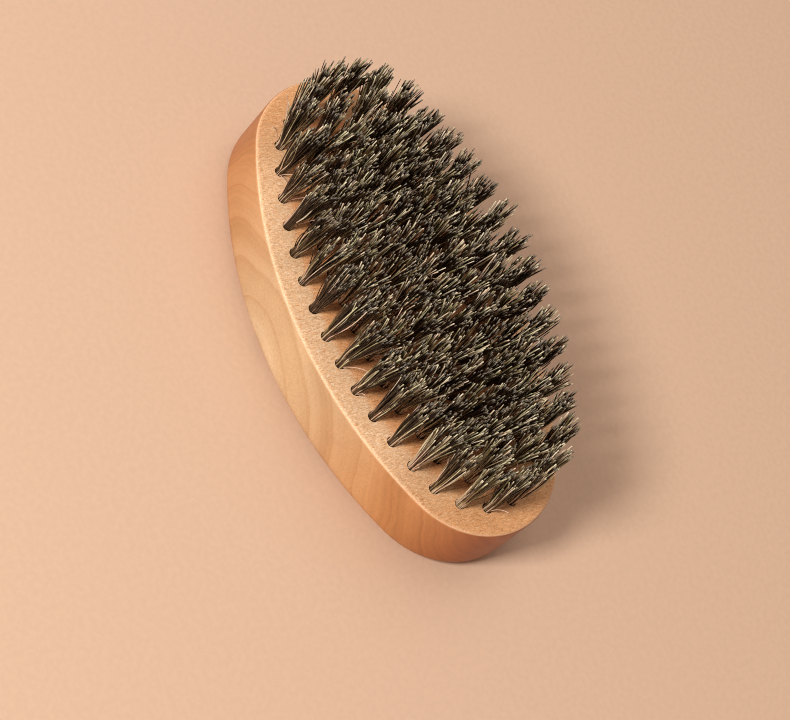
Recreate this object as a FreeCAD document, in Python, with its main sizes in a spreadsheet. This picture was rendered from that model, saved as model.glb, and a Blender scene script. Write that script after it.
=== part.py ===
import FreeCAD, Part
import math
import os
import Sketcher

# Beard brush: one oval beech block, drilled with blind holes in sixteen crosswise rows.
# Each hole holds one tuft of boar bristle, folded in half over a flat anchor wire that is
# driven to the bottom of the hole and bites into the wood on both sides.
#
# Frame: origin at the centre of the flat back, +X along the brush, +Y across it,
# +Z from the back towards the bristle tips. All lengths are in millimetres.

Vector = FreeCAD.Vector
TUFTS_BY_ROW = [4, 4, 6, 6, 7, 7, 7, 7, 7, 7, 7, 7, 6, 6, 4, 4]
ROW_COUNT = len(TUFTS_BY_ROW)
ROWS_PER_HALF = ROW_COUNT // 2
RING_STEPS_PER_QUARTER = 9
END_ROW_TUFTS = 4

DRIVING = {
    "block_half_length": 52.5,
    "block_half_width": 27.5,
    "block_end_radius": 20.0,
    "block_thickness": 17.0,
    "rim_round": 0.8,
    "back_round": 3.0,
    "ring_half_length": 46.4,
    "ring_half_width": 21.9,
    "ring_end_radius": 15.4,
    "hole_diameter": 2.3,
    "hole_depth": 8.0,
    "drill_point_angle": 118.0,
    "mouth_diameter": 2.4,
    "mouth_angle": 90.0,
    "tuft_root_diameter": 2.2,
    "tuft_tip_diameter": 5.6,
    "tuft_dome": 0.7,
    "bristle_length": 16.0,
    "fold_clearance": 0.1,
    "anchor_width": 2.9,
    "anchor_thickness": 0.35,
    "anchor_height": 1.6,
    "anchor_lift": 0.8,
}


def oval_side_radius(half_length, half_width, end_radius):
    """Radius of the long side arcs that run tangent into the two end arcs."""
    span = half_length ** 2 + half_width ** 2 - 2 * half_length * end_radius
    return span / (2 * (half_width - end_radius))


def oval_join_angle(half_length, half_width, end_radius):
    """Direction, from the end arc's centre, of the point where it meets a side arc."""
    side_radius = oval_side_radius(half_length, half_width, end_radius)
    return math.atan2(side_radius - half_width, half_length - end_radius)


def ring_stations():
    """Tuft places along one quarter of the outer ring, at equal steps from the middle.

    Each entry is (x, y, turn), where turn is the angle along the end arc in radians,
    or None on the long side arc.
    """
    half_length = DRIVING["ring_half_length"]
    half_width = DRIVING["ring_half_width"]
    end_radius = DRIVING["ring_end_radius"]
    side_radius = oval_side_radius(half_length, half_width, end_radius)
    join = oval_join_angle(half_length, half_width, end_radius)
    side_run = side_radius * (math.pi / 2 - join)
    step = (side_run + end_radius * join) / RING_STEPS_PER_QUARTER
    stations = []
    for index in range(RING_STEPS_PER_QUARTER):
        run = (index + 0.5) * step
        if run <= side_run:
            swing = run / side_radius
            x = side_radius * math.sin(swing)
            y = side_radius * math.cos(swing) - (side_radius - half_width)
            stations.append((x, y, None))
        else:
            turn = join - (run - side_run) / end_radius
            x = half_length - end_radius + end_radius * math.cos(turn)
            stations.append((x, end_radius * math.sin(turn), turn))
    return stations


def row_names():
    return [f"row_{number:02d}" for number in range(1, ROW_COUNT + 1)]


def straight_rows(stations):
    """Name, station along X, and half span across Y of each straight row."""
    rows = []
    names = row_names()
    for index in range(1, ROW_COUNT - 1):
        from_middle = index - ROWS_PER_HALF
        quarter_index = from_middle if from_middle >= 0 else -from_middle - 1
        x, y, _ = stations[quarter_index]
        side = 1 if from_middle >= 0 else -1
        rows.append((names[index], side * x, y, TUFTS_BY_ROW[index]))
    return rows


def tuft_places(rows, end_turn):
    """Every tuft as (x, y, angle of its anchor wire about Z)."""
    places = []
    for _, station, half_span, count in rows:
        pitch = 2 * half_span / (count - 1)
        for index in range(count):
            places.append((station, -half_span + index * pitch, 0.0))
    centre = DRIVING["ring_half_length"] - DRIVING["ring_end_radius"]
    radius = DRIVING["ring_end_radius"]
    for side, facing in ((1, 0.0), (-1, math.pi)):
        for index in range(END_ROW_TUFTS):
            turn = facing - end_turn + 2 * end_turn * index / (END_ROW_TUFTS - 1)
            x = side * centre + radius * math.cos(turn)
            places.append((x, radius * math.sin(turn), turn))
    return places


def fill_sheet(sheet, rows, end_turn):
    """Write the driving dimensions, then the row places that follow from them."""
    cells = dict(DRIVING)
    cells["end_row_turn"] = math.degrees(end_turn)
    for name, station, half_span, count in rows:
        cells[f"{name}_station"] = round(station, 4)
        cells[f"{name}_half_span"] = round(half_span, 4)
        cells[f"{name}_tufts"] = count
    for line, (alias, value) in enumerate(cells.items(), start=1):
        sheet.set(f"A{line}", alias)
        sheet.set(f"B{line}", str(value))
        sheet.setAlias(f"B{line}", alias)


def origin_feature(body, role):
    for feature in body.Origin.OriginFeatures:
        if feature.Role == role:
            return feature
    raise RuntimeError(f"{body.Label} has no {role}")


def new_body(doc, label):
    body = doc.addObject("PartDesign::Body", label)
    body.Label = label
    body.AllowCompound = True
    return body


def new_sketch(body, name, plane, offsets=()):
    """Sketch on one of the body's origin planes, moved by (axis, expression) pairs."""
    sketch = body.newObject("Sketcher::SketchObject", name)
    sketch.AttachmentSupport = [(origin_feature(body, plane), "")]
    sketch.MapMode = "FlatFace"
    for axis, expression in offsets:
        sketch.setExpression(f"AttachmentOffset.Base.{axis}", expression)
    return sketch


def drive(sketch, constraint, name, expression):
    """Add a dimension to a sketch, name it and bind it to the sheet."""
    index = sketch.addConstraint(constraint)
    sketch.renameConstraint(index, name)
    sketch.setExpression(f"Constraints.{name}", expression)


def draw_oval(sketch):
    """Four tangent arcs: two end arcs and two long side arcs."""
    half_length = DRIVING["block_half_length"]
    half_width = DRIVING["block_half_width"]
    end_radius = DRIVING["block_end_radius"]
    side_radius = oval_side_radius(half_length, half_width, end_radius)
    join = oval_join_angle(half_length, half_width, end_radius)
    end_centre = half_length - end_radius
    side_centre = side_radius - half_width
    arcs = [
        (end_centre, 0, end_radius, -join, join),
        (0, -side_centre, side_radius, join, math.pi - join),
        (-end_centre, 0, end_radius, math.pi - join, math.pi + join),
        (0, side_centre, side_radius, math.pi + join, 2 * math.pi - join),
    ]
    for x, y, radius, start, finish in arcs:
        circle = Part.Circle(Vector(x, y, 0), Vector(0, 0, 1), radius)
        sketch.addGeometry(Part.ArcOfCircle(circle, start, finish))
    for arc in range(4):
        sketch.addConstraint(Sketcher.Constraint("Tangent", arc, 2, (arc + 1) % 4, 1))
    sketch.addConstraint(Sketcher.Constraint("PointOnObject", 0, 3, -1))
    sketch.addConstraint(Sketcher.Constraint("Symmetric", 0, 3, 2, 3, -2))
    sketch.addConstraint(Sketcher.Constraint("Equal", 0, 2))
    sketch.addConstraint(Sketcher.Constraint("Equal", 1, 3))
    drive(sketch, Sketcher.Constraint("DistanceX", -1, 1, 0, 3, end_centre),
          "end_centre", "Dimensions.block_half_length - Dimensions.block_end_radius")
    drive(sketch, Sketcher.Constraint("Radius", 0, end_radius),
          "end_radius", "Dimensions.block_end_radius")
    drive(sketch, Sketcher.Constraint("Radius", 1, side_radius), "side_radius",
          "(Dimensions.block_half_length^2 + Dimensions.block_half_width^2"
          " - 2 * Dimensions.block_half_length * Dimensions.block_end_radius)"
          " / (2 * (Dimensions.block_half_width - Dimensions.block_end_radius))")


def edges_at_height(shape, height):
    names = []
    for index, edge in enumerate(shape.Edges, start=1):
        box = edge.BoundBox
        if abs(box.ZMin - height) < 1e-6 and abs(box.ZMax - height) < 1e-6:
            names.append(f"Edge{index}")
    return names


def round_edges(doc, body, name, base, height, radius_alias):
    """Round the outline of the block at the given height."""
    fillet = body.newObject("PartDesign::Fillet", name)
    fillet.Base = (base, edges_at_height(base.Shape, height))
    fillet.setExpression("Radius", f"Dimensions.{radius_alias}")
    doc.recompute()
    return fillet


def drill_tuft_holes(doc, body, places):
    """Blind drilled holes with a lightly broken mouth, one for each tuft."""
    centres = new_sketch(body, "hole_centres", "XY_Plane", [("z", "Dimensions.block_thickness")])
    for x, y, _ in places:
        circle = Part.Circle(Vector(x, y, 0), Vector(0, 0, 1), DRIVING["hole_diameter"] / 2)
        centres.addGeometry(circle)
    doc.recompute()
    hole = body.newObject("PartDesign::Hole", "tuft_holes")
    hole.Profile = centres
    hole.ThreadType = "None"
    hole.DepthType = "Dimension"
    hole.setExpression("Diameter", "Dimensions.hole_diameter")
    hole.setExpression("Depth", "Dimensions.hole_depth")
    hole.DrillPoint = "Angled"
    hole.setExpression("DrillPointAngle", "Dimensions.drill_point_angle")
    hole.HoleCutType = "Countersink"
    hole.HoleCutCustomValues = True
    hole.setExpression("HoleCutDiameter", "Dimensions.mouth_diameter")
    hole.setExpression("HoleCutCountersinkAngle", "Dimensions.mouth_angle")
    doc.recompute()


def cut_anchor_slots(doc, body, places):
    """Slots that the ends of the anchor wires have bitten into the wood."""
    floor = "Dimensions.block_thickness - Dimensions.hole_depth + Dimensions.anchor_lift"
    slots = new_sketch(body, "anchor_slot_outlines", "XY_Plane", [("z", floor)])
    reach = DRIVING["anchor_width"] / 2
    half = DRIVING["anchor_thickness"] / 2
    outline = [(-half, -reach), (half, -reach), (half, reach), (-half, reach)]
    for x, y, turn in places:
        corners = []
        for along, across in outline:
            corner_x = x + along * math.cos(turn) - across * math.sin(turn)
            corner_y = y + along * math.sin(turn) + across * math.cos(turn)
            corners.append(Vector(corner_x, corner_y, 0))
        for index in range(4):
            sketch_line = Part.LineSegment(corners[index], corners[(index + 1) % 4])
            slots.addGeometry(sketch_line)
    doc.recompute()
    pocket = body.newObject("PartDesign::Pocket", "anchor_slots")
    pocket.Profile = slots
    pocket.Reversed = True
    pocket.setExpression("Length", "Dimensions.anchor_height")
    doc.recompute()


def make_block(doc, places):
    body = new_body(doc, "wooden_block")
    outline = new_sketch(body, "block_outline", "XY_Plane")
    draw_oval(outline)
    pad = body.newObject("PartDesign::Pad", "block_pad")
    pad.Profile = outline
    pad.setExpression("Length", "Dimensions.block_thickness")
    doc.recompute()
    thickness = DRIVING["block_thickness"]
    rim = round_edges(doc, body, "rim_fillet", pad, thickness, "rim_round")
    round_edges(doc, body, "back_fillet", rim, 0.0, "back_round")
    solid_volume = body.Shape.Volume
    drill_tuft_holes(doc, body, places)
    drilled_volume = body.Shape.Volume
    cut_anchor_slots(doc, body, places)
    if not body.Shape.Volume < drilled_volume < solid_volume:
        raise RuntimeError("the holes or the anchor slots cut nothing from the block")
    return body


def draw_tuft_profile(sketch):
    """Half section of a tuft: parallel root, straight flare, domed tip."""
    fold = "Dimensions.block_thickness - Dimensions.hole_depth + Dimensions.fold_clearance"
    fold_z = DRIVING["block_thickness"] - DRIVING["hole_depth"] + DRIVING["fold_clearance"]
    face_z = DRIVING["block_thickness"]
    tip_z = face_z + DRIVING["bristle_length"]
    shoulder_z = tip_z - DRIVING["tuft_dome"]
    root = DRIVING["tuft_root_diameter"] / 2
    tip = DRIVING["tuft_tip_diameter"] / 2
    dome_radius = (tip ** 2 + DRIVING["tuft_dome"] ** 2) / (2 * DRIVING["tuft_dome"])
    dome_centre = tip_z - dome_radius
    corners = [Vector(0, fold_z, 0), Vector(root, fold_z, 0), Vector(root, face_z, 0),
               Vector(tip, shoulder_z, 0)]
    for start, finish in zip(corners, corners[1:]):
        sketch.addGeometry(Part.LineSegment(start, finish))
    circle = Part.Circle(Vector(0, dome_centre, 0), Vector(0, 0, 1), dome_radius)
    start_angle = math.atan2(shoulder_z - dome_centre, tip)
    sketch.addGeometry(Part.ArcOfCircle(circle, start_angle, math.pi / 2))
    sketch.addGeometry(Part.LineSegment(Vector(0, tip_z, 0), corners[0]))
    for index in range(5):
        sketch.addConstraint(Sketcher.Constraint("Coincident", index, 2, (index + 1) % 5, 1))
    sketch.addConstraint(Sketcher.Constraint("Horizontal", 0))
    sketch.addConstraint(Sketcher.Constraint("Vertical", 1))
    sketch.addConstraint(Sketcher.Constraint("Vertical", 4))
    sketch.addConstraint(Sketcher.Constraint("PointOnObject", 0, 1, -2))
    sketch.addConstraint(Sketcher.Constraint("PointOnObject", 3, 3, -2))
    drive(sketch, Sketcher.Constraint("DistanceX", 0, 1, 0, 2, root),
          "root_radius", "Dimensions.tuft_root_diameter / 2")
    drive(sketch, Sketcher.Constraint("DistanceY", -1, 1, 0, 1, fold_z), "fold_level", fold)
    drive(sketch, Sketcher.Constraint("DistanceY", -1, 1, 1, 2, face_z),
          "face_level", "Dimensions.block_thickness")
    drive(sketch, Sketcher.Constraint("DistanceX", -1, 1, 2, 2, tip),
          "tip_radius", "Dimensions.tuft_tip_diameter / 2")
    drive(sketch, Sketcher.Constraint("DistanceY", -1, 1, 2, 2, shoulder_z), "shoulder_level",
          "Dimensions.block_thickness + Dimensions.bristle_length - Dimensions.tuft_dome")
    drive(sketch, Sketcher.Constraint("DistanceY", -1, 1, 3, 2, tip_z), "tip_level",
          "Dimensions.block_thickness + Dimensions.bristle_length")


def draw_rectangle(sketch, width, width_of, height, height_of, base, base_of):
    """Rectangle centred on the sketch's vertical axis, standing on a base level."""
    half = width / 2
    corners = [Vector(-half, base, 0), Vector(half, base, 0),
               Vector(half, base + height, 0), Vector(-half, base + height, 0)]
    for index in range(4):
        sketch.addGeometry(Part.LineSegment(corners[index], corners[(index + 1) % 4]))
    for index in range(4):
        sketch.addConstraint(Sketcher.Constraint("Coincident", index, 2, (index + 1) % 4, 1))
    sketch.addConstraint(Sketcher.Constraint("Horizontal", 0))
    sketch.addConstraint(Sketcher.Constraint("Vertical", 1))
    sketch.addConstraint(Sketcher.Constraint("Vertical", 3))
    sketch.addConstraint(Sketcher.Constraint("Symmetric", 2, 1, 2, 2, -2))
    drive(sketch, Sketcher.Constraint("DistanceX", 0, 1, 0, 2, width), "width", width_of)
    drive(sketch, Sketcher.Constraint("DistanceY", 1, 1, 1, 2, height), "height", height_of)
    drive(sketch, Sketcher.Constraint("DistanceY", -1, 1, 0, 1, base), "base", base_of)


def draw_anchor_section(sketch):
    """Cross-section of the anchor wire, seen along its length."""
    base = DRIVING["block_thickness"] - DRIVING["hole_depth"] + DRIVING["anchor_lift"]
    draw_rectangle(
        sketch,
        DRIVING["anchor_thickness"], "Dimensions.anchor_thickness",
        DRIVING["anchor_height"], "Dimensions.anchor_height",
        base, "Dimensions.block_thickness - Dimensions.hole_depth + Dimensions.anchor_lift")


def repeat_across(body, originals, row):
    """Repeat features across the brush, from one edge of the ring to the other."""
    pattern = body.newObject("PartDesign::LinearPattern", f"{body.Name}_pattern")
    pattern.Originals = originals
    pattern.Direction = (origin_feature(body, "Y_Axis"), [""])
    pattern.setExpression("Length", f"2 * Dimensions.{row}_half_span")
    pattern.setExpression("Occurrences", f"Dimensions.{row}_tufts")
    body.Tip = pattern
    body.setExpression("Placement.Base.x", f"Dimensions.{row}_station")
    body.setExpression("Placement.Base.y", f"-Dimensions.{row}_half_span")


def repeat_round_end(body, originals, facing):
    """Repeat features round the end arc of the ring; facing is 0 or 180 degrees."""
    pattern = body.newObject("PartDesign::PolarPattern", f"{body.Name}_pattern")
    pattern.Originals = originals
    pattern.Axis = (origin_feature(body, "Z_Axis"), [""])
    pattern.setExpression("Angle", "2 * Dimensions.end_row_turn")
    pattern.Occurrences = END_ROW_TUFTS
    body.Tip = pattern
    side = "-1" if facing else "1"
    body.Placement.Rotation = FreeCAD.Rotation(Vector(0, 0, 1), facing)
    body.setExpression("Placement.Rotation.Angle", f"{facing} - Dimensions.end_row_turn")
    body.setExpression("Placement.Base.x",
                       f"{side} * (Dimensions.ring_half_length - Dimensions.ring_end_radius)")


def make_tuft(body, offsets):
    """One tuft with the slot through its fold where the anchor wire passes."""
    profile = new_sketch(body, f"{body.Name}_profile", "XZ_Plane", offsets)
    draw_tuft_profile(profile)
    tuft = body.newObject("PartDesign::Revolution", f"{body.Name}_tuft")
    tuft.Profile = profile
    tuft.ReferenceAxis = (profile, ["V_Axis"])
    tuft.Angle = 360
    section = new_sketch(body, f"{body.Name}_slot_section", "XZ_Plane", offsets)
    draw_anchor_section(section)
    slot = body.newObject("PartDesign::Pocket", f"{body.Name}_slot")
    slot.Profile = section
    slot.SideType = "Symmetric"
    slot.setExpression("Length", "Dimensions.anchor_width")
    return [tuft, slot]


def make_anchor(body, offsets):
    """One piece of flat anchor wire, lying across the brush."""
    section = new_sketch(body, f"{body.Name}_section", "XZ_Plane", offsets)
    draw_anchor_section(section)
    wire = body.newObject("PartDesign::Pad", f"{body.Name}_wire")
    wire.Profile = section
    wire.SideType = "Symmetric"
    wire.setExpression("Length", "Dimensions.anchor_width")
    return [wire]


def make_rows(doc, kind, make_one, rows):
    """One body for each row, holding a separate solid for each tuft or anchor wire."""
    names = row_names()
    end_offset = [("x", "Dimensions.ring_end_radius")]
    bodies = []
    for name, facing in ((names[0], 180), (names[-1], 0)):
        body = new_body(doc, f"{kind}_{name}")
        repeat_round_end(body, make_one(body, end_offset), facing)
        bodies.append((body, END_ROW_TUFTS))
    for name, _, _, count in rows:
        body = new_body(doc, f"{kind}_{name}")
        repeat_across(body, make_one(body, []), name)
        bodies.append((body, count))
    doc.recompute()
    for body, count in bodies:
        if len(body.Shape.Solids) != count:
            raise RuntimeError(f"{body.Label} has {len(body.Shape.Solids)} solids, not {count}")
    return [body for body, _ in bodies]


def check_document(doc, nodes):
    for item in doc.Objects:
        if "Invalid" in item.State or "Error" in item.State:
            raise RuntimeError(f"{item.Label} did not build: {item.State}")
    for node in nodes:
        if node.Shape.isNull() or not node.Shape.isValid():
            raise RuntimeError(f"{node.Label} has no valid shape")


def main():
    doc = FreeCAD.newDocument("beard_brush")
    sheet = doc.addObject("Spreadsheet::Sheet", "Dimensions")
    stations = ring_stations()
    rows = straight_rows(stations)
    end_turn = stations[ROWS_PER_HALF - 1][2]
    fill_sheet(sheet, rows, end_turn)
    doc.recompute()
    places = tuft_places(rows, end_turn)
    nodes = [make_block(doc, places)]
    nodes += make_rows(doc, "bristle", make_tuft, rows)
    nodes += make_rows(doc, "anchor", make_anchor, rows)
    check_document(doc, nodes)
    os.makedirs("parts", exist_ok=True)
    for node in nodes:
        node.Shape.exportStep(f"parts/{node.Label}.step")
        box = node.Shape.BoundBox
        print(f"{node.Label}: {len(node.Shape.Solids)} solids, {node.Shape.Volume:.1f} mm3, "
              f"x {box.XMin:.2f}..{box.XMax:.2f}, y {box.YMin:.2f}..{box.YMax:.2f}, "
              f"z {box.ZMin:.2f}..{box.ZMax:.2f}")


main()
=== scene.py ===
import math

import bpy
import numpy as np
from mathutils import Matrix, Vector


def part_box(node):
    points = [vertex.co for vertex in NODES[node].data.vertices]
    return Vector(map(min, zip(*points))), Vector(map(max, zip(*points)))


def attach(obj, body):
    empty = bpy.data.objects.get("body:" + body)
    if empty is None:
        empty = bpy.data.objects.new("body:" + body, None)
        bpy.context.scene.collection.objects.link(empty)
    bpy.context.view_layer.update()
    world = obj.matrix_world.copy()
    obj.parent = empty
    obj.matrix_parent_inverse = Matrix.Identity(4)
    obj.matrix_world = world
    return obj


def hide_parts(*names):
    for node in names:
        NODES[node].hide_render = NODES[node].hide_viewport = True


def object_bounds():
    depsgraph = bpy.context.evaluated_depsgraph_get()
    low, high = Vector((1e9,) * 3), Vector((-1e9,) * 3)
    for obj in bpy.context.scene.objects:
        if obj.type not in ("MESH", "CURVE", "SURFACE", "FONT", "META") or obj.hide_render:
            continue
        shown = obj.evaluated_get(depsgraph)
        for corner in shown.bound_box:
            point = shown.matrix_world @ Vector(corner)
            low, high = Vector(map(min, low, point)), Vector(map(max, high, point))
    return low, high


# Beard brush: an oval beech block with ninety-six tufts of boar bristle.
# Lengths are in millimetres unless a line says otherwise; MM turns them into metres.
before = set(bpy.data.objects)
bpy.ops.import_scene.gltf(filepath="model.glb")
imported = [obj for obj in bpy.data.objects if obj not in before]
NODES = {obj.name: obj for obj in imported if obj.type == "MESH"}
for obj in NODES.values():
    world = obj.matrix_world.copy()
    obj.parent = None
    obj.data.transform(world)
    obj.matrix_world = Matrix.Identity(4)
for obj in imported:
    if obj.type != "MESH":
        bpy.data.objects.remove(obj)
cad_low, cad_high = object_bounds()

MM = 0.001
BLOCK = "wooden_block"
ROW_NAMES = sorted(name for name in NODES if name.startswith("bristle_row_"))
ANCHOR_NAMES = sorted(name for name in NODES if name.startswith("anchor_row_"))
FACE_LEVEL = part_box(BLOCK)[1].z / MM
TIP_LEVEL = cad_high.z / MM
ANCHOR_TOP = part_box(ANCHOR_NAMES[0])[1].z / MM
ANCHOR_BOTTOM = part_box(ANCHOR_NAMES[0])[0].z / MM

# Half length and half width of the oval that the tufts fill.
FIELD_X = cad_high.x / MM - 6.0
FIELD_Y = cad_high.y / MM - 5.6

# One tuft: how many bristles, how thick, and how they stand in their hole. A strand keeps
# clear of the wire and of the hole's wall, whose flat facets come a little inside its circle.
SEED = 20
BRISTLES_PER_TUFT = 36
BRISTLE_RADIUS = 0.133
WIDTH_SPREAD = (0.72, 1.32)
TIP_TAPER = 0.14
STRAND_SIDES = 5
BUNDLE_RADIUS = 0.98
DISC_DISORDER = 0.025
HOLE_RADIUS = 1.15
HOLE_SPACING = 3.0
WIRE_REACH = 1.7
WIRE_THICKNESS = 0.35
CLEAR_GAP = 0.01
FACET_GAP = 0.026
THICKEST_STRAND = BRISTLE_RADIUS * WIDTH_SPREAD[1]
HELD_RADIUS = HOLE_RADIUS - FACET_GAP - THICKEST_STRAND
WIRE_CLEARANCE = WIRE_THICKNESS / 2 + THICKEST_STRAND + CLEAR_GAP
HELD_ALONG_WIRE = 0.88
FOLD_DROP = 0.28
FOLD_DEPTH = 0.33
FOLD_RISE = 0.06
ABOVE_WIRE = 0.1
LEAVING_DEPTH = 0.4

# How a tuft opens above the face. Its strands part into locks, and each strand's path has
# some stations held in the hole and some in its flare.
HELD_STATIONS = 4
FLARE_STATIONS = 9
BOUND_SHARE = 0.15
TIP_SPREAD = (3.95, 4.05)
TIP_SCATTER = 0.29
LOCKS_PER_TUFT = 6
LOCK_RING = 0.75
LOCK_PULL = 0.30
LOCK_PUSH = 0.55
LOCK_OPENING = (0.9, 0.1)
STRAND_PARTING = (0.45, 0.55)
WILD_SHARE = 0.04
WILD_SCATTER = 1.2
BOW = 0.16
BOW_FACTORS = [1, 1, 1, 2.6]
LANE_SQUEEZE = 0.98
EDGE_SQUEEZE = 0.34
EDGE_FROM = 0.55
EDGE_WIDTH = 0.4
EDGE_LEAN = -0.8
FAR_END_LEAN = 1.7
FAR_END_FROM = 0.6
FAR_END_WIDTH = 0.4
LEAN_SCATTER = 0.35

# How high the tips end, compared with the CAD tips.
TIP_DROP = 0.3
TIP_DOME = 0.05
TIP_UNEVEN = 0.75
LOCK_UNEVEN = 0.5
SHORT_SHARE = 0.25
SHORT_BY = (0.8, 5.0)
TALL_SHARE = 0.06
TALL_BY = (0.4, 1.4)
HIGHEST_TIP = TIP_LEVEL + 1.6

# Tones run from 0, near black, through olive to 0.9, cream. 1 is the tan of stray hairs.
TONE_GROUPS = 16
ALONE_SHARE = 0.65
DARK_SHARE = 0.57
DARK_SCATTER = 0.05
# Painted light: tufts towards the +X end get fewer dark strands.
PAINTED_LIGHT_END = 0.5
PAINTED_LIGHT_END_FROM = 0.5
DARK_TONES = (0.0, 0.28)
OLIVE_TONES = (0.38, 0.64)
PALE_TONES = (0.68, 0.92)

# Stray hairs: how far each runs, rises and swerves on its way out of the tuft.
STRAYS_PER_TUFT = 1.3
STRAY_RADIUS = 0.1
STRAY_STATIONS = 14
STRAY_TONE = 1.0
STRAY_TIP_REACH = 0.8
STRAY_TURN = 0.7
STRAY_ROOT_DEPTH = 0.3
STRAY_START = 0.72
STRAY_RUN = (2.6, 6.5)
STRAY_SWERVE = 0.8
STRAY_RISE = (2.0, 9.0)
STRAY_INWARD = 2.4
STRAY_FIRST_RISE = (1.5, 4.0)
STRAY_FIRST_RUN = (0.3, 1.3)
STRAY_SECOND_SHARE = 0.70
STRAY_SECOND_RISE = (0.3, 2.4)
STRAY_SECOND_SWERVE = 0.4


# ---------------------------------------------------------------- materials


NOISE_RANGE = (0.3, 0.7)
COLOUR_CHANNELS = 3
END_SHARPNESS = 1.3


class Shader:
    """A material's node tree, with one short call for each kind of node."""

    def __init__(self, name):
        self.material = bpy.data.materials.new(name)
        self.material.use_nodes = True
        self.tree = self.material.node_tree
        self.tree.nodes.clear()
        output = self.tree.nodes.new("ShaderNodeOutputMaterial")
        self.surface = self.tree.nodes.new("ShaderNodeBsdfPrincipled")
        self.tree.links.new(self.surface.outputs["BSDF"], output.inputs["Surface"])

    def feed(self, socket, value):
        """Link a node's output to the socket, or set the socket's own value."""
        if isinstance(value, bpy.types.NodeSocket):
            self.tree.links.new(value, socket)
        else:
            socket.default_value = value

    def finish(self, name, value):
        self.feed(self.surface.inputs[name], value)

    def place(self):
        """Position in millimetres, in the row frame."""
        coordinates = self.tree.nodes.new("ShaderNodeTexCoord")
        return self.scaled(coordinates.outputs["Object"], (1 / MM, 1 / MM, 1 / MM))

    def scaled(self, vector, factors):
        node = self.tree.nodes.new("ShaderNodeVectorMath")
        node.operation = "MULTIPLY"
        self.feed(node.inputs[0], vector)
        node.inputs[1].default_value = factors
        return node.outputs["Vector"]

    def split(self, vector):
        node = self.tree.nodes.new("ShaderNodeSeparateXYZ")
        self.feed(node.inputs[0], vector)
        return node.outputs["X"], node.outputs["Y"], node.outputs["Z"]

    def math(self, operation, first, second=0.0):
        node = self.tree.nodes.new("ShaderNodeMath")
        node.operation = operation
        self.feed(node.inputs[0], first)
        self.feed(node.inputs[1], second)
        return node.outputs["Value"]

    def span(self, value, low, high, to_low=0.0, to_high=1.0):
        """Map a range of values onto another, smoothly and held at its ends."""
        node = self.tree.nodes.new("ShaderNodeMapRange")
        node.interpolation_type = "SMOOTHSTEP"
        self.feed(node.inputs["Value"], value)
        node.inputs["From Min"].default_value = low
        node.inputs["From Max"].default_value = high
        node.inputs["To Min"].default_value = to_low
        node.inputs["To Max"].default_value = to_high
        return node.outputs["Result"]

    def noise(self, vector, per_mm, detail=2.0, roughness=0.5):
        node = self.tree.nodes.new("ShaderNodeTexNoise")
        self.feed(node.inputs["Vector"], vector)
        node.inputs["Scale"].default_value = per_mm
        node.inputs["Detail"].default_value = detail
        node.inputs["Roughness"].default_value = roughness
        return node.outputs["Fac"]

    def line_noise(self, position, per_mm, detail=1.0):
        """Noise that changes along one number only, such as a ring's radius."""
        node = self.tree.nodes.new("ShaderNodeTexNoise")
        node.noise_dimensions = "1D"
        self.feed(node.inputs["W"], position)
        node.inputs["Scale"].default_value = per_mm
        node.inputs["Detail"].default_value = detail
        return node.outputs["Fac"]

    def ramp(self, value, stops, smooth=True):
        """Colours along a value; each stop is (position, (red, green, blue))."""
        node = self.tree.nodes.new("ShaderNodeValToRGB")
        node.color_ramp.interpolation = "EASE" if smooth else "LINEAR"
        elements = node.color_ramp.elements
        while len(elements) < len(stops):
            elements.new(1.0)
        for element, (position, colour) in zip(elements, stops):
            element.position = position
            element.color = (*colour, 1.0)
        self.feed(node.inputs["Fac"], value)
        return node.outputs["Color"]

    def blend(self, share, first, second, mode="MIX"):
        node = self.tree.nodes.new("ShaderNodeMix")
        node.data_type = "RGBA"
        node.blend_type = mode
        self.feed(node.inputs[0], share)
        self.feed(node.inputs[6], first)
        self.feed(node.inputs[7], second)
        return node.outputs[2]

    def tinted(self, share, colour, tint):
        """The colour multiplied by a tint, to the given share."""
        return self.blend(share, colour, tint, "MULTIPLY")

    def shaded(self, share, colour, pattern, darkest, lightest):
        """The colour made darker and lighter by a noise pattern, to the given share."""
        return self.tinted(share, colour, self.grey(self.swing(pattern, darkest, lightest)))

    def swing(self, pattern, to_low, to_high):
        """A noise pattern's usual range of values, mapped onto another."""
        return self.span(pattern, *NOISE_RANGE, to_low, to_high)

    def grey(self, value):
        """A number as a colour, for multiplying."""
        node = self.tree.nodes.new("ShaderNodeCombineColor")
        for channel in range(COLOUR_CHANNELS):
            self.feed(node.inputs[channel], value)
        return node.outputs["Color"]

    def faces_end(self):
        """How far the surface faces along the brush: 0 across it, 1 at its ends."""
        geometry = self.tree.nodes.new("ShaderNodeNewGeometry")
        x, _, _ = self.split(geometry.outputs["Normal"])
        return self.math("POWER", self.math("ABSOLUTE", x), END_SHARPNESS)

    def attribute(self, name):
        node = self.tree.nodes.new("ShaderNodeAttribute")
        node.attribute_name = name
        return node.outputs["Fac"]

    def bump(self, height, strength, depth_mm):
        node = self.tree.nodes.new("ShaderNodeBump")
        node.inputs["Strength"].default_value = strength
        node.inputs["Distance"].default_value = depth_mm * MM
        self.feed(node.inputs["Height"], height)
        self.finish("Normal", node.outputs["Normal"])


# The board's growth rings run round an axis along Y, just under the block's back.
PITH_X = -2.0
PITH_Z = -5.5
RING_WIDTH = 7.5
RING_WAVES = 9.0
RING_RIPPLES = 0.8
SEASON_WAVES = 7.0
FIBRE_STRETCH = (1.0, 0.12, 1.0)
PORE_STRETCH = (1.0, 0.10, 1.0)
DASH_STRETCH = (1.0, 0.22, 1.0)
NICK_STRETCH = (1.0, 0.16, 1.0)
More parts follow.
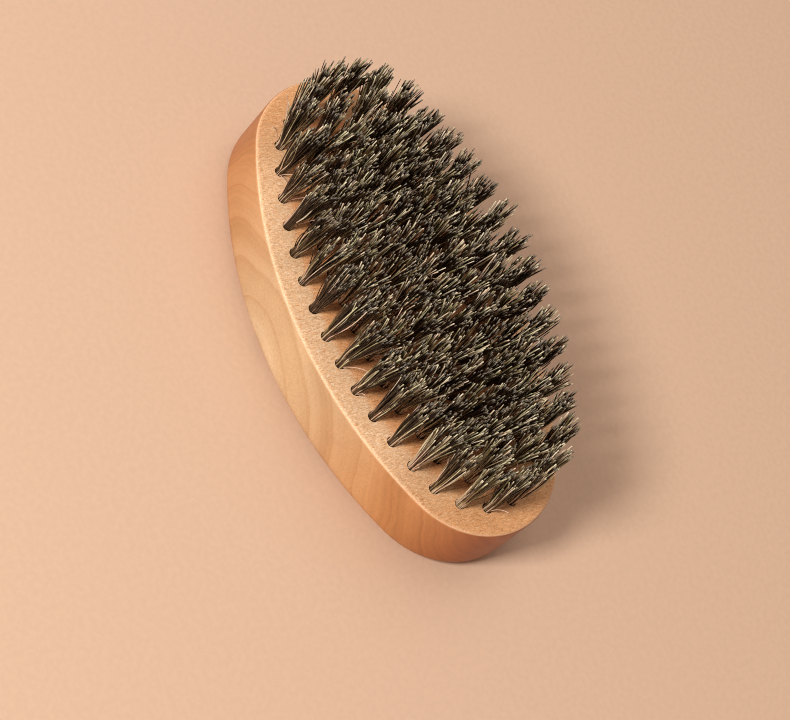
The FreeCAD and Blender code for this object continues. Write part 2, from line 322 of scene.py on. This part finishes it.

# The raw drilled face begins just below its own level, and its rim is painted paler, a painted
# highlight along the rounded edge.
RAW_FROM = FACE_LEVEL - 0.55
RAW_TO = FACE_LEVEL - 0.2
RIM_FROM = FACE_LEVEL - 0.25
RIM_TO = FACE_LEVEL - 0.02
RAW_ROUGHNESS = 0.36
FIBRE_RELIEF = 0.25

WALL_COLOURS = [
    (0.30, (0.55, 0.350, 0.190)),
    (0.46, (0.60, 0.400, 0.230)),
    (0.54, (0.63, 0.435, 0.260)),
    (0.70, (0.67, 0.480, 0.300)),
]
FACE_COLOURS = [
    (0.28, (0.68, 0.370, 0.180)),
    (0.45, (0.78, 0.480, 0.265)),
    (0.56, (0.84, 0.555, 0.340)),
    (0.74, (0.92, 0.670, 0.455)),
]
LATEWOOD_TINT = (0.84, 0.74, 0.64, 1.0)
RING_LINE_TINT = (0.84, 0.72, 0.60, 1.0)
PORE_TINT = (0.84, 0.74, 0.62, 1.0)
# Painted warm shade towards both ends of the wall.
PAINTED_END_SHADE = (1.0, 0.76, 0.52, 1.0)
# Darker end grain, partly the wood's own tone and partly painted shade.
END_GRAIN_AND_SHADE_TINT = (0.59, 0.285, 0.145, 1.0)
DARK_NICK_TINT = (0.76, 0.60, 0.44, 1.0)
PALE_NICK_COLOUR = (0.98, 0.80, 0.62, 1.0)
# Painted shade among the tufts, and deeper painted shade in the middle of the field.
PAINTED_TUFT_SHADE = (0.90, 0.68, 0.50, 1.0)
PAINTED_INNER_TUFT_SHADE = (0.78, 0.68, 0.60, 1.0)
FACE_END_TINT = (0.80, 0.64, 0.49, 1.0)
# Painted highlight along the rim of the face.
PAINTED_RIM_HIGHLIGHT = (0.86, 0.62, 0.47, 1.0)


def squared(shader, value):
    """The square of a node's value."""
    return shader.math("POWER", value, 2.0)


def ring_radius(shader, place, x, z):
    """Distance from the pith, made uneven by slow waves."""
    waves = shader.noise(place, 0.045, detail=1.0)
    ripples = shader.noise(place, 0.35, detail=2.0)
    across = squared(shader, shader.math("SUBTRACT", x, PITH_X))
    height = squared(shader, shader.math("SUBTRACT", z, PITH_Z))
    radius = shader.math("SQRT", shader.math("ADD", across, height))
    radius = shader.math("ADD", radius, shader.math("MULTIPLY", waves, RING_WAVES))
    return shader.math("ADD", radius, shader.math("MULTIPLY", ripples, RING_RIPPLES))


def beech_wall(shader, place, radius, bands, fibres, from_middle):
    """Colour of the satin wall and back: growth rings, pores and clouds, with painted warm
    shade towards both ends.
    """
    shift = shader.math("MULTIPLY", shader.line_noise(radius, 0.12), SEASON_WAVES)
    rings = shader.math("DIVIDE", shader.math("ADD", radius, shift), RING_WIDTH)
    season = shader.math("FRACT", rings)
    growth = shader.line_noise(radius, 1.1, detail=3.0)
    clouds = shader.noise(place, 0.09, detail=2.0)
    pores = shader.noise(shader.scaled(place, PORE_STRETCH), 2.4, detail=2.0)
    wall = shader.ramp(bands, WALL_COLOURS)
    latewood = shader.math("MULTIPLY", shader.span(season, 0.45, 0.97), 0.30)
    wall = shader.tinted(latewood, wall, LATEWOOD_TINT)
    ring_line = shader.math("MULTIPLY", shader.span(season, 0.86, 0.97), 0.22)
    wall = shader.tinted(ring_line, wall, RING_LINE_TINT)
    streaks = shader.span(from_middle, 22.0, 46.0, 0.15, 0.68)
    wall = shader.shaded(streaks, wall, growth, 0.86, 1.06)
    wall = shader.shaded(0.75, wall, fibres, 0.88, 1.06)
    wall = shader.tinted(shader.span(pores, 0.60, 0.70, 0.0, 0.6), wall, PORE_TINT)
    wall = shader.shaded(0.6, wall, clouds, 0.90, 1.06)
    # Painted shade: the wall is made darker and more orange towards both ends.
    wall = shader.tinted(shader.span(from_middle, 10.0, 42.0), wall, PAINTED_END_SHADE)
    # Surfaces facing along the brush darken: partly the end grain's own darker tone, partly
    # painted shade on the ends.
    return shader.tinted(shader.faces_end(), wall, END_GRAIN_AND_SHADE_TINT)


def beech_face(shader, place, fuzz, dashes, bands):
    """Colour of the raw drilled face: fuzz, dashes along the fibres, dark and pale nicks."""
    nicks = shader.noise(shader.scaled(place, NICK_STRETCH), 4.6, detail=1.0)
    face = shader.ramp(fuzz, FACE_COLOURS)
    face = shader.shaded(0.8, face, dashes, 0.80, 1.12)
    face = shader.tinted(shader.span(nicks, 0.60, 0.70, 0.0, 0.8), face, DARK_NICK_TINT)
    face = shader.blend(shader.span(nicks, 0.30, 0.40, 0.55, 0.0), face, PALE_NICK_COLOUR)
    return shader.shaded(0.35, face, bands, 0.85, 1.1)


def painted_tuft_shade_and_end_tint(shader, face, x, y, from_middle):
    """The face made warmer and darker among the tufts, a painted shade where the tufts shade
    the wood, and warmer and darker towards both ends.
    """
    along_field = squared(shader, shader.math("DIVIDE", x, FIELD_X))
    across_field = squared(shader, shader.math("DIVIDE", y, FIELD_Y))
    from_centre = shader.math("ADD", along_field, across_field)
    # Painted shade: the wood among the tufts is darkened and warmed, most in the middle of the
    # field.
    field = shader.span(from_centre, 0.80, 1.0, 1.0, 0.0)
    inner_shade_share = shader.span(from_centre, 0.50, 0.85, 1.0, 0.0)
    face = shader.tinted(field, face, PAINTED_TUFT_SHADE)
    face = shader.tinted(inner_shade_share, face, PAINTED_INNER_TUFT_SHADE)
    return shader.tinted(shader.span(from_middle, 25.0, 50.0), face, FACE_END_TINT)


def beech():
    """Satin beech on the wall and back; raw, fuzzy, paler beech on the drilled face."""
    shader = Shader("beech")
    place = shader.place()
    x, y, z = shader.split(place)
    from_middle = shader.math("ABSOLUTE", x)
    raw = shader.span(z, RAW_FROM, RAW_TO)
    radius = ring_radius(shader, place, x, z)
    bands = shader.line_noise(radius, 0.11, detail=1.0)
    fibres = shader.noise(shader.scaled(place, FIBRE_STRETCH), 3.2, detail=3.0)
    fuzz = shader.noise(place, 2.6, detail=4.0, roughness=0.65)
    dashes = shader.noise(shader.scaled(place, DASH_STRETCH), 3.6, detail=3.0, roughness=0.6)

    wall = beech_wall(shader, place, radius, bands, fibres, from_middle)
    face = beech_face(shader, place, fuzz, dashes, bands)
    face = painted_tuft_shade_and_end_tint(shader, face, x, y, from_middle)
    # Painted highlight: the face's rim is blended towards a pale colour along the rounded edge.
    rim = shader.math("MULTIPLY", raw, shader.span(z, RIM_FROM, RIM_TO, 0.35, 0.0))
    face = shader.blend(rim, face, PAINTED_RIM_HIGHLIGHT)
    shader.finish("Base Color", shader.blend(raw, wall, face))
    gloss = shader.swing(fibres, 0.36, 0.48)
    rawness = shader.math("MULTIPLY", raw, RAW_ROUGHNESS)
    shader.finish("Roughness", shader.math("ADD", gloss, rawness))
    relief = shader.math("MULTIPLY", shader.math("ADD", fuzz, dashes), raw)
    relief = shader.math("ADD", relief, shader.math("MULTIPLY", fibres, FIBRE_RELIEF))
    shader.bump(relief, 0.55, 0.12)
    return shader.material


# Bristle colours along the tones, and a slight tint that differs from hair to hair.
BRISTLE_COLOURS = [
    (0.00, (0.005, 0.0012, 0.0005)),
    (0.28, (0.023, 0.010, 0.0045)),
    (0.46, (0.104, 0.074, 0.034)),
    (0.62, (0.240, 0.200, 0.108)),
    (0.76, (0.420, 0.362, 0.248)),
    (0.90, (0.730, 0.640, 0.500)),
    (1.00, (0.600, 0.450, 0.360)),
]
BRISTLE_TINTS = [
    (0.15, (1.06, 0.93, 0.88)),
    (0.50, (1.0, 1.0, 1.0)),
    (0.85, (0.93, 1.0, 0.86)),
]
HUE_CYCLES = 61.0
MOTTLE = 0.07
MIDDLE_TONE = 0.20
ROOT_BROWN = (0.37, 0.20, 0.105, 1.0)
TIP_CREAM = (0.70, 0.62, 0.47, 1.0)
LONG_MOTTLE = (1.0, 1.0, 0.35)
LONG_SCALES = (1.0, 1.0, 0.25)


def boar_bristle():
    """Bristle that runs from near black through olive to cream, one tone for each hair.
    Near the roots the tones stand further apart."""
    shader = Shader("boar_bristle")
    place = shader.place()
    tone = shader.attribute("tone")
    reach = shader.attribute("reach")
    hue = shader.math("FRACT", shader.math("MULTIPLY", tone, HUE_CYCLES))
    mottle = shader.noise(shader.scaled(place, LONG_MOTTLE), 1.6, detail=2.0)
    tone = shader.math("ADD", tone, shader.swing(mottle, -MOTTLE, MOTTLE))
    away = shader.math("SUBTRACT", tone, MIDDLE_TONE)
    contrast = shader.span(reach, 0.40, 0.85, 0.75, 0.0)
    tone = shader.math("ADD", tone, shader.math("MULTIPLY", away, contrast))
    colour = shader.ramp(tone, BRISTLE_COLOURS, smooth=False)
    colour = shader.tinted(1.0, colour, shader.ramp(hue, BRISTLE_TINTS))
    brown_root = shader.span(reach, 0.40, 0.80, 0.10, 0.0)
    colour = shader.blend(brown_root, colour, ROOT_BROWN)
    pale_tip = shader.span(reach, 0.95, 1.0, 0.0, 0.18)
    colour = shader.blend(pale_tip, colour, TIP_CREAM)
    shader.finish("Base Color", colour)
    scales = shader.noise(shader.scaled(place, LONG_SCALES), 6.0, detail=2.0)
    shader.finish("Roughness", shader.swing(scales, 0.30, 0.50))
    shader.finish("Specular IOR Level", 0.5)
    shader.bump(scales, 0.3, 0.02)
    return shader.material


WIRE_COLOURS = [(0.35, (0.42, 0.42, 0.43)), (0.65, (0.62, 0.62, 0.63))]
WIRE_STRETCH = (1.0, 0.1, 1.0)
FLOOR_COLOURS = [(0.3, (0.60, 0.415, 0.302)), (0.7, (0.63, 0.435, 0.316))]


def anchor_wire():
    """Drawn galvanised steel: dull, with fine drawing lines along Y."""
    shader = Shader("anchor_wire")
    place = shader.place()
    drawn = shader.noise(shader.scaled(place, WIRE_STRETCH), 14.0, detail=3.0)
    bloom = shader.noise(place, 1.5, detail=3.0)
    shader.finish("Base Color", shader.ramp(bloom, WIRE_COLOURS))
    shader.finish("Metallic", 1.0)
    shader.finish("Roughness", shader.swing(drawn, 0.32, 0.55))
    shader.bump(drawn, 0.4, 0.02)
    return shader.material


def studio_floor():
    """Plain pale, matt floor."""
    shader = Shader("studio_floor")
    place = shader.place()
    speckle = shader.noise(place, 0.8, detail=3.0)
    shader.finish("Base Color", shader.ramp(speckle, FLOOR_COLOURS))
    shader.finish("Roughness", 0.7)
    return shader.material


# ----------------------------------------------------------------- bristles


GOLDEN_TURN = math.pi * (3 - math.sqrt(5))
FOLD_SLICE = 0.1
UPWARD = np.array([0.0, 0.0, 1.0])
FIRST_SIDE = (0.3, 1.0, 0.2)
SIDE_CORNERS = 4


def mesh_points(node):
    """The node's vertices in millimetres."""
    vertices = NODES[node].data.vertices
    points = np.empty(len(vertices) * 3)
    vertices.foreach_get("co", points)
    return points.reshape(-1, 3) / MM


def tuft_places(row, anchors):
    """Every tuft of a row as (x, y, angle of its anchor wire about Z)."""
    points = mesh_points(row)
    fold = points[points[:, 2] < points[:, 2].min() + FOLD_SLICE, :2]
    wires = mesh_points(anchors)[:, :2]
    places = []
    while len(fold):
        near = np.linalg.norm(fold - fold[0], axis=1) < HOLE_SPACING
        centre = (fold[near].min(0) + fold[near].max(0)) / 2
        fold = fold[~near]
        wire = wires[np.linalg.norm(wires - centre, axis=1) < WIRE_REACH] - centre
        (xx, xy), (_, yy) = wire.T @ wire
        along = 0.5 * math.atan2(2 * xy, xx - yy)
        places.append((centre[0], centre[1], along))
    return places


def packed_disc(rng, count, radius):
    """Points that fill a disc evenly, with a little disorder."""
    index = np.arange(count)
    turn = index * GOLDEN_TURN + rng.uniform(0, 2 * math.pi)
    distance = radius * np.sqrt((index + 0.5) / count)
    points = np.stack([distance * np.cos(turn), distance * np.sin(turn)], axis=1)
    return points + rng.normal(0, DISC_DISORDER, points.shape)


def paired_across(points):
    """Pairs of strand ends that belong to one folded bristle, one from each half of the
    bundle. The first column is across the wire and the second is along it."""
    order = np.argsort(points[:, 0])
    half = len(points) // 2
    left = points[order[:half]]
    right = points[order[half:]]
    return left[np.argsort(left[:, 1])], right[np.argsort(right[:, 1])]


def nearest(points, centres):
    """For each point, the number of the centre that is nearest to it."""
    return np.argmin(np.linalg.norm(points[:, None] - centres[None], axis=2), axis=1)


def held_share(value):
    """The value, kept between 0 and 1."""
    return min(max(value, 0.0), 1.0)


def held_inside(points):
    """The same points, with any that would press a strand into the hole's wall moved in."""
    distance = np.maximum(np.linalg.norm(points, axis=1, keepdims=True), HELD_RADIUS)
    return points * HELD_RADIUS / distance


def beside_wire(roots):
    """Where the strands pass the anchor wire: clear of its sides and inside the hole."""
    along = roots[:, 1] * HELD_ALONG_WIRE
    room = np.sqrt(HELD_RADIUS ** 2 - along ** 2) - WIRE_CLEARANCE
    across = WIRE_CLEARANCE + room * np.minimum(np.abs(roots[:, 0]) / HELD_RADIUS, 1.0)
    return np.column_stack([np.sign(roots[:, 0]) * across, along])


def tip_heights(rng, tip_radius, member):
    """Levels of the tips: a low dome, uneven by lock and by strand, with some cut short
    and a few tall."""
    count = len(tip_radius)
    height = TIP_LEVEL - TIP_DROP - TIP_DOME * tip_radius ** 2
    height -= np.abs(rng.normal(0, TIP_UNEVEN, count))
    height += rng.normal(0, LOCK_UNEVEN, LOCKS_PER_TUFT)[member]
    short = rng.random(count) < SHORT_SHARE
    height[short] -= rng.uniform(*SHORT_BY, short.sum())
    tall = rng.random(count) < TALL_SHARE
    height[tall] += rng.uniform(*TALL_BY, tall.sum())
    return np.minimum(height, HIGHEST_TIP)


def flare_tips(rng, roots, lean, turn, squeeze):
    """Where the strands' tips end, relative to the tuft's centre, how high, and each
    strand's lock. A tuft opens as a few locks, each with a lean of its own."""
    locks = packed_disc(rng, LOCKS_PER_TUFT, BUNDLE_RADIUS * LOCK_RING)
    member = nearest(roots, locks)
    push = rng.normal(0, LOCK_PUSH, locks.shape)
    spread = (roots + LOCK_PULL * (locks[member] - roots)) * TIP_SPREAD + push[member]
    spread += rng.normal(0, TIP_SCATTER, roots.shape)
    wild = rng.random(len(roots)) < WILD_SHARE
    spread[wild] += rng.normal(0, WILD_SCATTER, (wild.sum(), 2))
    spread = ((spread @ turn.T) * (squeeze, 1.0)) @ turn
    height = tip_heights(rng, np.linalg.norm(spread, axis=1), member)
    return spread + lean, height, member


def mean_by_lock(moves, member):
    """For each strand, the mean move of the strands of its lock."""
    means = np.zeros((LOCKS_PER_TUFT, 2))
    for lock in np.unique(member):
        means[lock] = moves[member == lock].mean(0)
    return means[member]


def strand_half(rng, roots, fold_height, fold_along, lean, turn, squeeze):
    """Centre lines from under the anchor wire to the tips: (strand, station, xyz)."""
    count = len(roots)
    beside = beside_wire(roots)
    tips, tip_height, member = flare_tips(rng, roots, lean, turn, squeeze)
    lock_move = mean_by_lock(tips - roots, member)
    own_move = tips - roots - lock_move
    bow = rng.normal(0, BOW, roots.shape) * rng.choice(BOW_FACTORS, (count, 1))
    leaving = FACE_LEVEL - LEAVING_DEPTH
    above_wire = np.full(count, ANCHOR_TOP + ABOVE_WIRE)
    half_way = np.full(count, (ANCHOR_TOP + FACE_LEVEL) / 2)
    stations = [
        np.column_stack([np.zeros(count), fold_along, fold_height]),
        np.column_stack([beside, fold_height + FOLD_RISE]),
        np.column_stack([beside, above_wire]),
        np.column_stack([(beside + roots) / 2, half_way]),
        np.column_stack([roots, np.full(count, leaving)]),
    ]
    for step in np.linspace(0, 1, FLARE_STATIONS)[1:]:
        free = max(step - BOUND_SHARE, 0.0) / (1 - BOUND_SHARE)
        opened = LOCK_OPENING[0] * free + LOCK_OPENING[1] * free ** 2
        parted = STRAND_PARTING[0] * free + STRAND_PARTING[1] * free ** 2
        across = roots + lock_move * opened + own_move * parted
        across = across + bow * math.sin(math.pi * free)
        height = leaving + (tip_height - leaving) * step
        stations.append(np.column_stack([across, height]))
    return np.stack(stations, axis=1)


def folded_bristles(rng, place, lean):
    """One tuft's bristles, each running tip, fold, tip, and their tones along the way."""
    x, y, along = place
    ends = held_inside(packed_disc(rng, 2 * BRISTLES_PER_TUFT, BUNDLE_RADIUS))
    left, right = paired_across(ends)
    depth = (np.abs(left[:, 0]) + np.abs(right[:, 0])) / (2 * BUNDLE_RADIUS)
    fold_height = ANCHOR_BOTTOM - FOLD_DROP - FOLD_DEPTH * depth
    fold_along = (left[:, 1] + right[:, 1]) / 2
    across = along - math.pi / 2
    cosine = math.cos(across)
    sine = math.sin(across)
    turn = np.array([[cosine, -sine], [sine, cosine]])
    local_lean = lean @ turn
    squeeze = LANE_SQUEEZE - EDGE_SQUEEZE * edge_share(x, y)
    first = strand_half(rng, left, fold_height, fold_along, local_lean, turn, squeeze)
    second = strand_half(rng, right, fold_height, fold_along, local_lean, turn, squeeze)
    paths = np.concatenate([first[:, ::-1], second[:, 1:]], axis=1)
    paths[:, :, :2] = paths[:, :, :2] @ turn.T + (x, y)
    half = paths.shape[1] // 2
    # Painted light: tufts towards the +X end get fewer dark strands, so they look paler as if
    # better lit.
    painted_light_end = PAINTED_LIGHT_END * max(x / cad_high.x * MM - PAINTED_LIGHT_END_FROM, 0.0)
    dark_share = DARK_SHARE - painted_light_end + rng.normal(0, DARK_SCATTER)
    tones = bristle_tones(rng, np.concatenate([left, right]), dark_share).reshape(2, -1, 1)
    first_tones = np.repeat(tones[0], half + 1, 1)
    second_tones = np.repeat(tones[1], half, 1)
    return paths, np.concatenate([first_tones, second_tones], axis=1)


def bristle_tones(rng, roots, dark_share):
    """Tones of strands: the given share is dark, and the rest are half olive, half pale.
    Some neighbours share a kind, but most strands have one of their own."""
    member = nearest(roots, packed_disc(rng, TONE_GROUPS, BUNDLE_RADIUS))
    kind = rng.random(TONE_GROUPS)[member]
    alone = rng.random(len(roots)) < ALONE_SHARE
    kind[alone] = rng.random(alone.sum())
    dark = rng.uniform(*DARK_TONES, len(roots))
    olive = rng.uniform(*OLIVE_TONES, len(roots))
    pale = rng.uniform(*PALE_TONES, len(roots))
    olive_or_pale = np.where(kind < (1 + dark_share) / 2, olive, pale)
    return np.where(kind < dark_share, dark, olive_or_pale)


def stray_hairs(rng, centre):
    """Centre lines of fine pale hairs that leave a tuft near its root and arch over into
    the lanes, each a cubic Bezier curve."""
    count = rng.poisson(STRAYS_PER_TUFT)
    column = (count, 1)
    heading = rng.choice([0.0, math.pi], count) + rng.normal(0, STRAY_TURN, count)
    level = np.zeros(count)
    way = np.stack([np.cos(heading), np.sin(heading), level], axis=1)
    side = np.stack([-way[:, 1], way[:, 0], level], axis=1)
    root = np.array([centre[0], centre[1], FACE_LEVEL - STRAY_ROOT_DEPTH])
    start = root + way * STRAY_START
    end = root + way * rng.uniform(*STRAY_RUN, column)
    end = end + side * rng.normal(0, STRAY_SWERVE, column)
    end = end + UPWARD * rng.uniform(*STRAY_RISE, column)
    end[:, :2] -= STRAY_INWARD * centre / (FIELD_X, FIELD_Y)
    first = start + UPWARD * rng.uniform(*STRAY_FIRST_RISE, column)
    first = first + way * rng.uniform(*STRAY_FIRST_RUN, column)
    second = start + (end - start) * STRAY_SECOND_SHARE
    second = second + UPWARD * rng.uniform(*STRAY_SECOND_RISE, column)
    second = second + side * rng.normal(0, STRAY_SECOND_SWERVE, column)
    step = np.linspace(0, 1, STRAY_STATIONS)[None, :, None]
    back = 1 - step
    return (back ** 3 * start[:, None] + 3 * step * back ** 2 * first[:, None]
            + 3 * step ** 2 * back * second[:, None] + step ** 3 * end[:, None])


def tube_mesh(paths, radii, tones, reach):
    """Arrays for closed strands swept along the paths: points, side faces, end caps,
    and each point's tone and reach."""
    count, stations, _ = paths.shape
    tangent = np.gradient(paths, axis=1)
    tangent /= np.linalg.norm(tangent, axis=2, keepdims=True)
    normal = np.cross(tangent[:, 0], FIRST_SIDE)
    rings = []
    angle = np.arange(STRAND_SIDES) * 2 * math.pi / STRAND_SIDES
    cosine = np.cos(angle)[None, :, None]
    sine = np.sin(angle)[None, :, None]
    for station in range(stations):
        heading = tangent[:, station]
        normal = normal - (normal * heading).sum(1, keepdims=True) * heading
        normal /= np.linalg.norm(normal, axis=1, keepdims=True)
        side = np.cross(heading, normal)
        rim = normal[:, None] * cosine + side[:, None] * sine
        rings.append(paths[:, station, None] + rim * radii[:, station, None, None])
    points = np.stack(rings, axis=1).reshape(-1, 3)
    base = (np.arange(count) * stations * STRAND_SIDES)[:, None, None]
    ring = (np.arange(stations - 1) * STRAND_SIDES)[None, :, None]
    corner = np.arange(STRAND_SIDES)[None, None]
    following = (corner + 1) % STRAND_SIDES
    start = base + ring
    quads = np.stack([start + corner, start + following,
                      start + STRAND_SIDES + following, start + STRAND_SIDES + corner], axis=-1)
    last = (stations - 1) * STRAND_SIDES
    caps = np.concatenate([base[:, 0] + corner[0, :, ::-1], base[:, 0] + last + corner[0]])
    point_tones = np.repeat(tones.ravel(), STRAND_SIDES)
    point_reach = np.repeat(np.tile(reach, count), STRAND_SIDES)
    return points, quads.reshape(-1, 4), caps, point_tones, point_reach


def strand_object(name, parts):
    """One mesh object from several lots of strands."""
    points, quads, caps, tones, reach = [], [], [], [], []
    total = 0
    for part in parts:
        points.append(part[0])
        quads.append(part[1] + total)
        caps.append(part[2] + total)
        tones.append(part[3])
        reach.append(part[4])
        total += len(part[0])
    faces = np.concatenate(quads).tolist() + np.concatenate(caps).tolist()
    mesh = bpy.data.meshes.new(name)
    mesh.from_pydata((np.concatenate(points) * MM).tolist(), [], faces)
    mesh.polygons.foreach_set("use_smooth", [len(face) == SIDE_CORNERS for face in faces])
    for key, values in (("tone", tones), ("reach", reach)):
        layer = mesh.attributes.new(key, "FLOAT", "POINT")
        layer.data.foreach_set("value", np.concatenate(values).astype(np.float32))
    mesh.update()
    piece = bpy.data.objects.new(name, mesh)
    bpy.context.scene.collection.objects.link(piece)
    return piece


def edge_share(x, y):
    """0 for a tuft well inside the field and 1 for one at its edge."""
    edge = (x / FIELD_X) ** 2 + (y / FIELD_Y) ** 2
    return held_share((edge - EDGE_FROM) / EDGE_WIDTH)


def tuft_lean(rng, x, y):
    """How far a tuft's tips lean from upright. The outer tufts lean a little inward, but
    those at the -X end lean outward."""
    outward = np.array([x / FIELD_X ** 2, y / FIELD_Y ** 2])
    lean = outward / max(np.linalg.norm(outward), 1e-9) * EDGE_LEAN * edge_share(x, y)
    far_end = held_share((-x / FIELD_X - FAR_END_FROM) / FAR_END_WIDTH)
    lean = lean - np.array([FAR_END_LEAN * far_end, 0.0])
    return lean + rng.normal(0, LEAN_SCATTER, 2)


def make_row(row, anchors, material):
    """One crosswise row of tufts, in place of its plain CAD solids.
    Reach is 0 at a bristle's fold and 1 at its tips."""
    rng = np.random.default_rng([SEED, int(row[-2:])])
    half = np.linspace(0, 1, FLARE_STATIONS + HELD_STATIONS)
    reach = np.concatenate([half[::-1], half[1:]])
    stray_reach = np.linspace(0, STRAY_TIP_REACH, STRAY_STATIONS)
    parts = []
    for x, y, along in tuft_places(row, anchors):
        paths, tones = folded_bristles(rng, (x, y, along), tuft_lean(rng, x, y))
        width = BRISTLE_RADIUS * rng.uniform(*WIDTH_SPREAD, (len(paths), 1))
        radii = width * (1 - TIP_TAPER * reach[None] ** 3)
        parts.append(tube_mesh(paths, radii, tones, reach))
        strays = stray_hairs(rng, np.array([x, y]))
        if len(strays):
            thin = np.full(strays.shape[:2], STRAY_RADIUS)
            pale = np.full(strays.shape[:2], STRAY_TONE)
            parts.append(tube_mesh(strays, thin, pale, stray_reach))
    piece = strand_object(row.replace("bristle", "boar_bristle"), parts)
    piece.data.materials.append(material)
    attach(piece, "root")
    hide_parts(row)
    return piece


# ---------------------------------------------------- stage, lights, camera


# Lengths in this section are in metres, and powers in watts.
FLOOR_HALF = 3.0
AIR_COLOUR = (1.0, 0.80, 0.66, 1.0)
AIR_STRENGTH = 0.33
LENS_MM = 109.37
SENSOR_MM = 36.0
NEAREST_SEEN = 0.01
CAMERA_PLACE = (0.123794, -0.283906, 0.397809)
CAMERA_RIGHT = (0.40098, 0.79469, 0.45572)
CAMERA_UP = (-0.88606, 0.21014, 0.41320)
PIXEL_FILTER = 1.0


def make_floor():
    """A square floor under the brush."""
    half = FLOOR_HALF
    corners = [(-half, -half, 0), (half, -half, 0), (half, half, 0), (-half, half, 0)]
    mesh = bpy.data.meshes.new("studio_floor")
    mesh.from_pydata(corners, [], [(0, 1, 2, 3)])
    floor = bpy.data.objects.new("studio_floor", mesh)
    floor.data.materials.append(studio_floor())
    bpy.context.scene.collection.objects.link(floor)


def make_light(name, direction, distance, size, power, colour):
    """A square soft box that faces the brush."""
    lamp = bpy.data.lights.new(name, "AREA")
    lamp.shape = "SQUARE"
    lamp.size = size
    lamp.energy = power
    lamp.color = colour
    light = bpy.data.objects.new(name, lamp)
    towards = Vector(direction).normalized()
    aim = Vector((0, 0, FACE_LEVEL * MM))
    light.location = aim + towards * distance
    light.rotation_mode = "QUATERNION"
    light.rotation_quaternion = towards.to_track_quat("Z", "Y")
    bpy.context.scene.collection.objects.link(light)


def make_world():
    """Soft warm light from all round."""
    world = bpy.data.worlds.new("studio_air")
    world.use_nodes = True
    background = world.node_tree.nodes["Background"]
    background.inputs["Color"].default_value = AIR_COLOUR
    background.inputs["Strength"].default_value = AIR_STRENGTH
    bpy.context.scene.world = world


def make_camera():
    """Above the bristles and to one side, rolled so that the brush stands on its end."""
    camera = bpy.data.cameras.new("camera")
    camera.lens = LENS_MM
    camera.sensor_width = SENSOR_MM
    camera.clip_start = NEAREST_SEEN
    viewer = bpy.data.objects.new("camera", camera)
    right = Vector(CAMERA_RIGHT).normalized()
    up = Vector(CAMERA_UP).normalized()
    back = right.cross(up).normalized()
    turn = Matrix((right, up, back)).transposed().to_4x4()
    viewer.matrix_world = Matrix.Translation(CAMERA_PLACE) @ turn
    bpy.context.scene.collection.objects.link(viewer)
    bpy.context.scene.camera = viewer


def give_material(node, material):
    """Put a procedural material on a carried-over CAD node."""
    mesh = NODES[node].data
    mesh.materials.clear()
    mesh.materials.append(material)


make_camera()
make_world()
make_floor()
make_light("key_light", direction=(-0.07, -0.77, 0.64), distance=1.0, size=0.22,
           power=10.8, colour=(1.0, 0.95, 0.88))
make_light("top_light", direction=(-0.3, 0.3, 1.0), distance=1.2, size=0.8,
           power=4.2, colour=(1.0, 0.93, 0.86))
bpy.context.scene.view_settings.view_transform = "Standard"
bpy.context.scene.cycles.filter_width = PIXEL_FILTER
bpy.context.scene.cycles.denoising_prefilter = "NONE"

give_material(BLOCK, beech())
wire_material = anchor_wire()
for name in ANCHOR_NAMES:
    give_material(name, wire_material)
bristle_material = boar_bristle()
for row_name, anchor_name in zip(ROW_NAMES, ANCHOR_NAMES):
    make_row(row_name, anchor_name, bristle_material)
